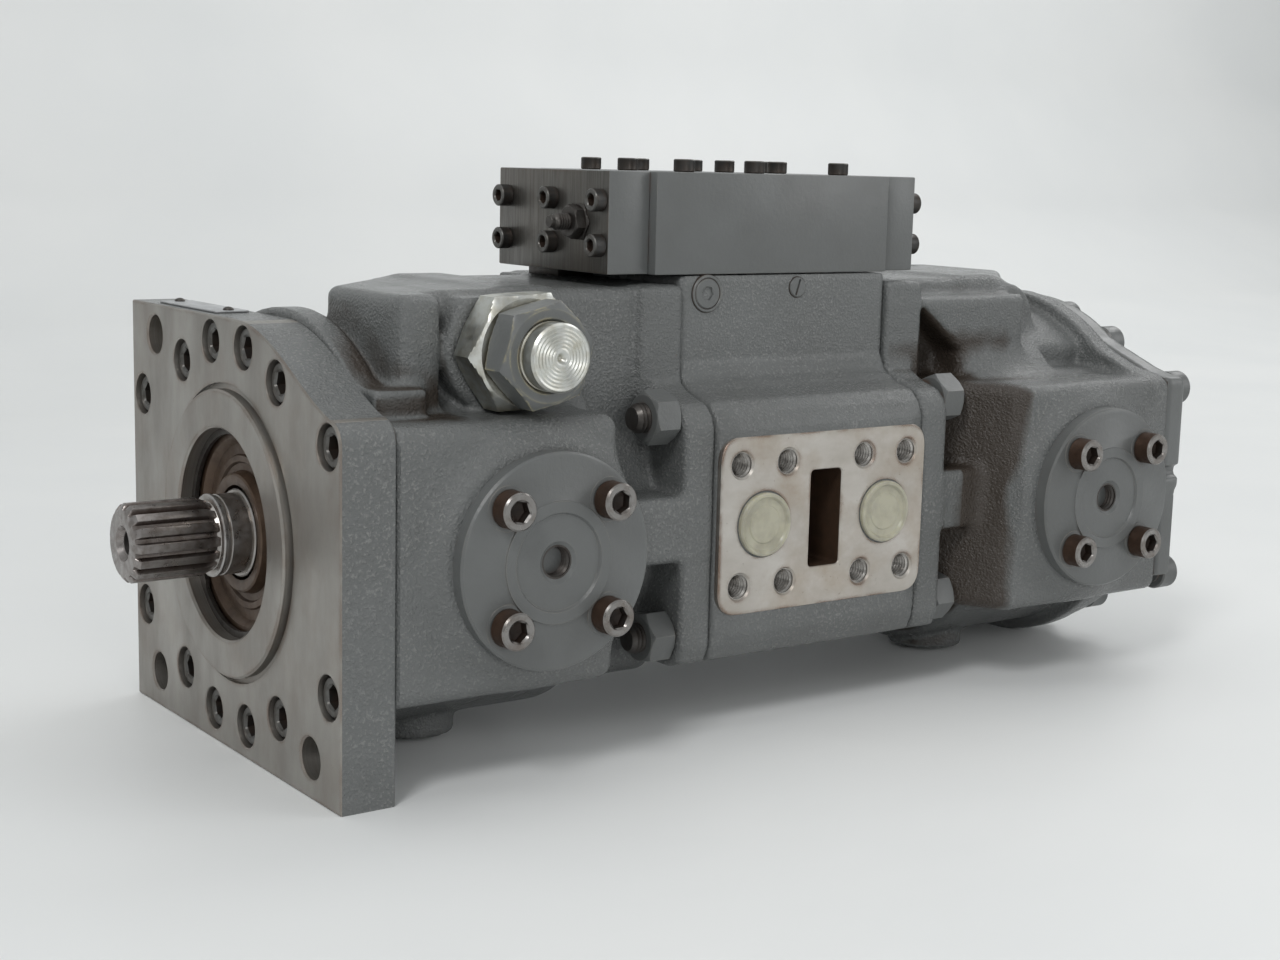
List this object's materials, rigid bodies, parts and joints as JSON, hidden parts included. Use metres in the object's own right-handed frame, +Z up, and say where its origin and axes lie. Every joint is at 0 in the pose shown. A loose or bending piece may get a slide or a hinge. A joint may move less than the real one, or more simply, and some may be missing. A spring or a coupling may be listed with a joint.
{
  "type": "axial piston pump",
  "caption": "Tandem swash-plate axial piston pump with a splined drive shaft, square mounting flange, common valve block with side ports, and a regulator on top.",
  "frame": {"origin": "on the resting plane, under the middle of the pump's overall box", "axes": "+X along the shaft, from the splined drive end to the rear; +Y to the suction port's side, so the delivery ports face -Y; +Z up"},
  "size_m": [0.5602, 0.2632, 0.2644],
  "materials": {
    "painted_casting": "satin blue-grey paint over a fine cast texture, worn brown in the recesses",
    "machined_flange": "bare milled steel, slightly warm, faint arc marks, paint on its edges",
    "ground_steel": "turned and ground, with fine turning marks",
    "bright_zinc": "bright zinc plate, fine turned lines",
    "painted_nut": "grey paint, scuffed at the corners",
    "brushed_dark_steel": "dark brown-grey brushed steel, smooth",
    "dark_steel": "black oxide, dull",
    "seal_brown": "brown oxidised steel with oil film",
    "cap_plastic": "translucent yellowish plastic, slightly scuffed",
    "bronze": "turned bronze",
    "screw_black": "black oxide with rust in the sockets",
    "screw_rusty": "rusty brown black-oxide steel",
    "primer_brown": "brown primer and cast skin showing in the recesses"
  },
  "bodies": {
    "root": {"mounting_flange": "machined_flange", "seal_cover": "seal_brown", "front_housing": "painted_casting", "valve_block": "painted_casting", "rear_housing": "painted_casting", "rear_end_cover": "painted_casting", "regulator_body": "painted_casting", "regulator_front_cover": "brushed_dark_steel", "regulator_rear_cover": "brushed_dark_steel", "port_cap_front": "cap_plastic", "port_cap_rear": "cap_plastic", "side_cover_front_a": "painted_casting", "side_cover_front_b": "painted_casting", "stop_screw_front": "bright_zinc", "stop_nut_front": "painted_nut", "swash_support_front": "dark_steel", "side_cover_rear_a": "painted_casting", "side_cover_rear_b": "painted_casting", "stop_screw_rear": "bright_zinc", "stop_nut_rear": "painted_nut", "swash_support_rear": "dark_steel"},
    "rotor": {"drive_shaft": "ground_steel", "rear_shaft": "ground_steel", "shaft_coupling": "ground_steel", "cylinder_block_front": "ground_steel", "cylinder_block_rear": "ground_steel"},
    "swash_front": {"swash_plate_front": "ground_steel"},
    "servo_front": {"servo_piston_front": "ground_steel"},
    "slippers_front": {"retainer_front": "ground_steel"},
    "shoe_front_1": {"shoe_front_1": "bronze"},
    "piston_front_1": {"piston_front_1": "ground_steel"},
    "shoe_front_2": {"shoe_front_2": "bronze"},
    "piston_front_2": {"piston_front_2": "ground_steel"},
    "shoe_front_3": {"shoe_front_3": "bronze"},
    "piston_front_3": {"piston_front_3": "ground_steel"},
    "shoe_front_4": {"shoe_front_4": "bronze"},
    "piston_front_4": {"piston_front_4": "ground_steel"},
    "shoe_front_5": {"shoe_front_5": "bronze"},
    "piston_front_5": {"piston_front_5": "ground_steel"},
    "shoe_front_6": {"shoe_front_6": "bronze"},
    "piston_front_6": {"piston_front_6": "ground_steel"},
    "shoe_front_7": {"shoe_front_7": "bronze"},
    "piston_front_7": {"piston_front_7": "ground_steel"},
    "swash_rear": {"swash_plate_rear": "ground_steel"},
    "servo_rear": {"servo_piston_rear": "ground_steel"},
    "slippers_rear": {"retainer_rear": "ground_steel"},
    "shoe_rear_1": {"shoe_rear_1": "bronze"},
    "piston_rear_1": {"piston_rear_1": "ground_steel"},
    "shoe_rear_2": {"shoe_rear_2": "bronze"},
    "piston_rear_2": {"piston_rear_2": "ground_steel"},
    "shoe_rear_3": {"shoe_rear_3": "bronze"},
    "piston_rear_3": {"piston_rear_3": "ground_steel"},
    "shoe_rear_4": {"shoe_rear_4": "bronze"},
    "piston_rear_4": {"piston_rear_4": "ground_steel"},
    "shoe_rear_5": {"shoe_rear_5": "bronze"},
    "piston_rear_5": {"piston_rear_5": "ground_steel"},
    "shoe_rear_6": {"shoe_rear_6": "bronze"},
    "piston_rear_6": {"piston_rear_6": "ground_steel"},
    "shoe_rear_7": {"shoe_rear_7": "bronze"},
    "piston_rear_7": {"piston_rear_7": "ground_steel"}
  },
  "joints": [
    {"name": "shaft_spin", "type": "hinge", "parent": "root", "child": "rotor", "pos_m": [-0.23255, 0, 0.0975], "axis": [1, 0, 0], "continuous": true},
    {"name": "front_tilt", "type": "hinge", "parent": "root", "child": "swash_front", "pos_m": [-0.11255, 0, 0.0975], "axis": [0, 0, 1], "range_deg": [0, 15]},
    {"name": "front_servo", "type": "slide", "parent": "root", "child": "servo_front", "axis": [0, -1, 0], "range_m": [0, 0.0072]},
    {"name": "front_slippers", "type": "hinge", "parent": "swash_front", "child": "slippers_front", "pos_m": [-0.11255, 0, 0.0975], "axis": [1, 0, 0], "continuous": true},
    {"name": "front_shoe_1", "type": "hinge", "parent": "slippers_front", "child": "shoe_front_1", "pos_m": [-0.11255, 0.03455, 0.0975], "axis": [1, 0, 0], "continuous": true},
    {"name": "front_ball_1", "type": "hinge", "parent": "shoe_front_1", "child": "piston_front_1", "pos_m": [-0.11255, 0.03455, 0.0975], "axis": [0, 0, 1], "range_deg": [-15.5, 0.5]},
    {"name": "front_shoe_2", "type": "hinge", "parent": "slippers_front", "child": "shoe_front_2", "pos_m": [-0.11255, 0.02154, 0.12451], "axis": [1, 0, 0], "continuous": true},
    {"name": "front_ball_2", "type": "hinge", "parent": "shoe_front_2", "child": "piston_front_2", "pos_m": [-0.11255, 0.02154, 0.12451], "axis": [0, 0, 1], "range_deg": [-15.5, 0.5]},
    {"name": "front_shoe_3", "type": "hinge", "parent": "slippers_front", "child": "shoe_front_3", "pos_m": [-0.11255, -0.00769, 0.13118], "axis": [1, 0, 0], "continuous": true},
    {"name": "front_ball_3", "type": "hinge", "parent": "shoe_front_3", "child": "piston_front_3", "pos_m": [-0.11255, -0.00769, 0.13118], "axis": [0, 0, 1], "range_deg": [-15.5, 0.5]},
    {"name": "front_shoe_4", "type": "hinge", "parent": "slippers_front", "child": "shoe_front_4", "pos_m": [-0.11255, -0.03113, 0.11249], "axis": [1, 0, 0], "continuous": true},
    {"name": "front_ball_4", "type": "hinge", "parent": "shoe_front_4", "child": "piston_front_4", "pos_m": [-0.11255, -0.03113, 0.11249], "axis": [0, 0, 1], "range_deg": [-15.5, 0.5]},
    {"name": "front_shoe_5", "type": "hinge", "parent": "slippers_front", "child": "shoe_front_5", "pos_m": [-0.11255, -0.03113, 0.08251], "axis": [1, 0, 0], "continuous": true},
    {"name": "front_ball_5", "type": "hinge", "parent": "shoe_front_5", "child": "piston_front_5", "pos_m": [-0.11255, -0.03113, 0.08251], "axis": [0, 0, 1], "range_deg": [-15.5, 0.5]},
    {"name": "front_shoe_6", "type": "hinge", "parent": "slippers_front", "child": "shoe_front_6", "pos_m": [-0.11255, -0.00769, 0.06382], "axis": [1, 0, 0], "continuous": true},
    {"name": "front_ball_6", "type": "hinge", "parent": "shoe_front_6", "child": "piston_front_6", "pos_m": [-0.11255, -0.00769, 0.06382], "axis": [0, 0, 1], "range_deg": [-15.5, 0.5]},
    {"name": "front_shoe_7", "type": "hinge", "parent": "slippers_front", "child": "shoe_front_7", "pos_m": [-0.11255, 0.02154, 0.07049], "axis": [1, 0, 0], "continuous": true},
    {"name": "front_ball_7", "type": "hinge", "parent": "shoe_front_7", "child": "piston_front_7", "pos_m": [-0.11255, 0.02154, 0.07049], "axis": [0, 0, 1], "range_deg": [-15.5, 0.5]},
    {"name": "rear_tilt", "type": "hinge", "parent": "root", "child": "swash_rear", "pos_m": [0.17305, 0, 0.0975], "axis": [0, 0, 1], "range_deg": [0, 15]},
    {"name": "rear_servo", "type": "slide", "parent": "root", "child": "servo_rear", "axis": [0, 1, 0], "range_m": [0, 0.0072]},
    {"name": "rear_slippers", "type": "hinge", "parent": "swash_rear", "child": "slippers_rear", "pos_m": [0.17305, 0, 0.0975], "axis": [1, 0, 0], "continuous": true},
    {"name": "rear_shoe_1", "type": "hinge", "parent": "slippers_rear", "child": "shoe_rear_1", "pos_m": [0.17305, -0.03455, 0.0975], "axis": [1, 0, 0], "continuous": true},
    {"name": "rear_ball_1", "type": "hinge", "parent": "shoe_rear_1", "child": "piston_rear_1", "pos_m": [0.17305, -0.03455, 0.0975], "axis": [0, 0, 1], "range_deg": [-15.5, 0.5]},
    {"name": "rear_shoe_2", "type": "hinge", "parent": "slippers_rear", "child": "shoe_rear_2", "pos_m": [0.17305, -0.02154, 0.12451], "axis": [1, 0, 0], "continuous": true},
    {"name": "rear_ball_2", "type": "hinge", "parent": "shoe_rear_2", "child": "piston_rear_2", "pos_m": [0.17305, -0.02154, 0.12451], "axis": [0, 0, 1], "range_deg": [-15.5, 0.5]},
    {"name": "rear_shoe_3", "type": "hinge", "parent": "slippers_rear", "child": "shoe_rear_3", "pos_m": [0.17305, 0.00769, 0.13118], "axis": [1, 0, 0], "continuous": true},
    {"name": "rear_ball_3", "type": "hinge", "parent": "shoe_rear_3", "child": "piston_rear_3", "pos_m": [0.17305, 0.00769, 0.13118], "axis": [0, 0, 1], "range_deg": [-15.5, 0.5]},
    {"name": "rear_shoe_4", "type": "hinge", "parent": "slippers_rear", "child": "shoe_rear_4", "pos_m": [0.17305, 0.03113, 0.11249], "axis": [1, 0, 0], "continuous": true},
    {"name": "rear_ball_4", "type": "hinge", "parent": "shoe_rear_4", "child": "piston_rear_4", "pos_m": [0.17305, 0.03113, 0.11249], "axis": [0, 0, 1], "range_deg": [-15.5, 0.5]},
    {"name": "rear_shoe_5", "type": "hinge", "parent": "slippers_rear", "child": "shoe_rear_5", "pos_m": [0.17305, 0.03113, 0.08251], "axis": [1, 0, 0], "continuous": true},
    {"name": "rear_ball_5", "type": "hinge", "parent": "shoe_rear_5", "child": "piston_rear_5", "pos_m": [0.17305, 0.03113, 0.08251], "axis": [0, 0, 1], "range_deg": [-15.5, 0.5]},
    {"name": "rear_shoe_6", "type": "hinge", "parent": "slippers_rear", "child": "shoe_rear_6", "pos_m": [0.17305, 0.00769, 0.06382], "axis": [1, 0, 0], "continuous": true},
    {"name": "rear_ball_6", "type": "hinge", "parent": "shoe_rear_6", "child": "piston_rear_6", "pos_m": [0.17305, 0.00769, 0.06382], "axis": [0, 0, 1], "range_deg": [-15.5, 0.5]},
    {"name": "rear_shoe_7", "type": "hinge", "parent": "slippers_rear", "child": "shoe_rear_7", "pos_m": [0.17305, -0.02154, 0.07049], "axis": [1, 0, 0], "continuous": true},
    {"name": "rear_ball_7", "type": "hinge", "parent": "shoe_rear_7", "child": "piston_rear_7", "pos_m": [0.17305, -0.02154, 0.07049], "axis": [0, 0, 1], "range_deg": [-15.5, 0.5]}
  ],
  "couplings": [
    {"joint": "front_servo", "follows": "front_tilt", "m_per_rad": 0.0266},
    {"joint": "front_slippers", "follows": "shaft_spin", "ratio": 1},
    {"joint": "front_shoe_1", "follows": "shaft_spin", "ratio": -1},
    {"joint": "front_ball_1", "follows": "front_tilt", "ratio": -1},
    {"joint": "front_shoe_2", "follows": "shaft_spin", "ratio": -1},
    {"joint": "front_ball_2", "follows": "front_tilt", "ratio": -1},
    {"joint": "front_shoe_3", "follows": "shaft_spin", "ratio": -1},
    {"joint": "front_ball_3", "follows": "front_tilt", "ratio": -1},
    {"joint": "front_shoe_4", "follows": "shaft_spin", "ratio": -1},
    {"joint": "front_ball_4", "follows": "front_tilt", "ratio": -1},
    {"joint": "front_shoe_5", "follows": "shaft_spin", "ratio": -1},
    {"joint": "front_ball_5", "follows": "front_tilt", "ratio": -1},
    {"joint": "front_shoe_6", "follows": "shaft_spin", "ratio": -1},
    {"joint": "front_ball_6", "follows": "front_tilt", "ratio": -1},
    {"joint": "front_shoe_7", "follows": "shaft_spin", "ratio": -1},
    {"joint": "front_ball_7", "follows": "front_tilt", "ratio": -1},
    {"joint": "rear_servo", "follows": "rear_tilt", "m_per_rad": 0.0266},
    {"joint": "rear_slippers", "follows": "shaft_spin", "ratio": 1},
    {"joint": "rear_shoe_1", "follows": "shaft_spin", "ratio": -1},
    {"joint": "rear_ball_1", "follows": "rear_tilt", "ratio": -1},
    {"joint": "rear_shoe_2", "follows": "shaft_spin", "ratio": -1},
    {"joint": "rear_ball_2", "follows": "rear_tilt", "ratio": -1},
    {"joint": "rear_shoe_3", "follows": "shaft_spin", "ratio": -1},
    {"joint": "rear_ball_3", "follows": "rear_tilt", "ratio": -1},
    {"joint": "rear_shoe_4", "follows": "shaft_spin", "ratio": -1},
    {"joint": "rear_ball_4", "follows": "rear_tilt", "ratio": -1},
    {"joint": "rear_shoe_5", "follows": "shaft_spin", "ratio": -1},
    {"joint": "rear_ball_5", "follows": "rear_tilt", "ratio": -1},
    {"joint": "rear_shoe_6", "follows": "shaft_spin", "ratio": -1},
    {"joint": "rear_ball_6", "follows": "rear_tilt", "ratio": -1},
    {"joint": "rear_shoe_7", "follows": "shaft_spin", "ratio": -1},
    {"joint": "rear_ball_7", "follows": "rear_tilt", "ratio": -1}
  ]
}
